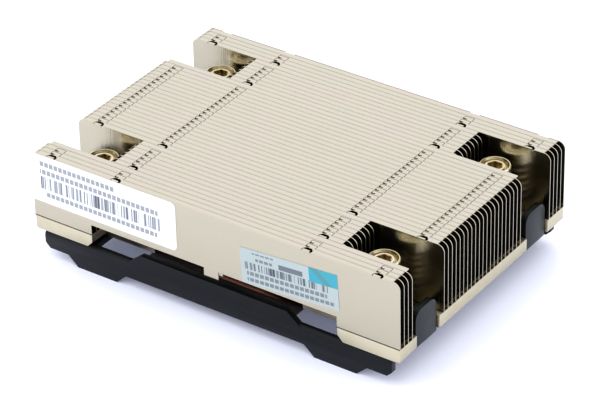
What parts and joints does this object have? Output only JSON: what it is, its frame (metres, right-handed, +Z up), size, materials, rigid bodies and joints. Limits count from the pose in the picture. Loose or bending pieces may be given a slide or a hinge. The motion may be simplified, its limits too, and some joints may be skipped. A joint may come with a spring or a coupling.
{
  "type": "passive server cpu heatsink",
  "caption": "Low passive heatsink: a stack of interlocked folded fins on a plated base with a copper slab, held by sprung captive screws in a bent dark bracket.",
  "frame": {"origin": "on the surface under the bracket's feet, below the middle of the screw pattern", "axes": "+X along the fins, +Y from the labelled front fin to the back, +Z up"},
  "size_m": [0.1226, 0.0843, 0.034],
  "materials": {
    "fins": "satin plated sheet",
    "base_plate": "satin plated, machined and die cast",
    "copper_base": "bare machined copper",
    "bracket": "satin near-black coat",
    "screws": "turned, plated",
    "springs": "drawn wire",
    "clips": "stamped, plated",
    "labels": "printed film, print left out"
  },
  "bodies": {
    "heatsink": {"fin_01": "fins", "fin_02": "fins", "fin_03": "fins", "fin_04": "fins", "fin_05": "fins", "fin_06": "fins", "fin_07": "fins", "fin_08": "fins", "fin_09": "fins", "fin_10": "fins", "fin_11": "fins", "fin_12": "fins", "fin_13": "fins", "fin_14": "fins", "fin_15": "fins", "fin_16": "fins", "fin_17": "fins", "fin_18": "fins", "fin_19": "fins", "fin_20": "fins", "fin_21": "fins", "fin_22": "fins", "fin_23": "fins", "fin_24": "fins", "fin_25": "fins", "fin_26": "fins", "fin_27": "fins", "fin_28": "fins", "fin_29": "fins", "fin_30": "fins", "fin_31": "fins", "fin_32": "fins", "fin_33": "fins", "fin_34": "fins", "fin_35": "fins", "fin_36": "fins", "fin_37": "fins", "fin_38": "fins", "fin_39": "fins", "fin_40": "fins", "fin_41": "fins", "fin_42": "fins", "fin_43": "fins", "end_plate": "fins", "base_plate": "base_plate", "copper_base": "copper_base", "bracket": "bracket", "labels": "labels", "screw_spring_1": "springs", "screw_spring_2": "springs", "screw_spring_3": "springs", "screw_spring_4": "springs"},
    "clip_1": {"retaining_clip_1": "clips"},
    "screw_1": {"captive_screw_1": "screws"},
    "clip_2": {"retaining_clip_2": "clips"},
    "screw_2": {"captive_screw_2": "screws"},
    "clip_3": {"retaining_clip_3": "clips"},
    "screw_3": {"captive_screw_3": "screws"},
    "clip_4": {"retaining_clip_4": "clips"},
    "screw_4": {"captive_screw_4": "screws"}
  },
  "joints": [
    {"name": "screw_press_1", "type": "slide", "parent": "heatsink", "child": "clip_1", "axis": [0, 0, -1], "range_m": [0, 0.004], "stiffness_N_per_m": 2500, "springref_m": -0.003, "deforming": ["screw_spring_1"]},
    {"name": "screw_turn_1", "type": "hinge", "parent": "clip_1", "child": "screw_1", "pos_m": [-0.047, -0.028, 0.015], "axis": [0, 0, 1], "continuous": true},
    {"name": "screw_press_2", "type": "slide", "parent": "heatsink", "child": "clip_2", "axis": [0, 0, -1], "range_m": [0, 0.004], "stiffness_N_per_m": 2500, "springref_m": -0.003, "deforming": ["screw_spring_2"]},
    {"name": "screw_turn_2", "type": "hinge", "parent": "clip_2", "child": "screw_2", "pos_m": [0.047, -0.028, 0.015], "axis": [0, 0, 1], "continuous": true},
    {"name": "screw_press_3", "type": "slide", "parent": "heatsink", "child": "clip_3", "axis": [0, 0, -1], "range_m": [0, 0.004], "stiffness_N_per_m": 2500, "springref_m": -0.003, "deforming": ["screw_spring_3"]},
    {"name": "screw_turn_3", "type": "hinge", "parent": "clip_3", "child": "screw_3", "pos_m": [-0.047, 0.028, 0.015], "axis": [0, 0, 1], "continuous": true},
    {"name": "screw_press_4", "type": "slide", "parent": "heatsink", "child": "clip_4", "axis": [0, 0, -1], "range_m": [0, 0.004], "stiffness_N_per_m": 2500, "springref_m": -0.003, "deforming": ["screw_spring_4"]},
    {"name": "screw_turn_4", "type": "hinge", "parent": "clip_4", "child": "screw_4", "pos_m": [0.047, 0.028, 0.015], "axis": [0, 0, 1], "continuous": true}
  ]
}
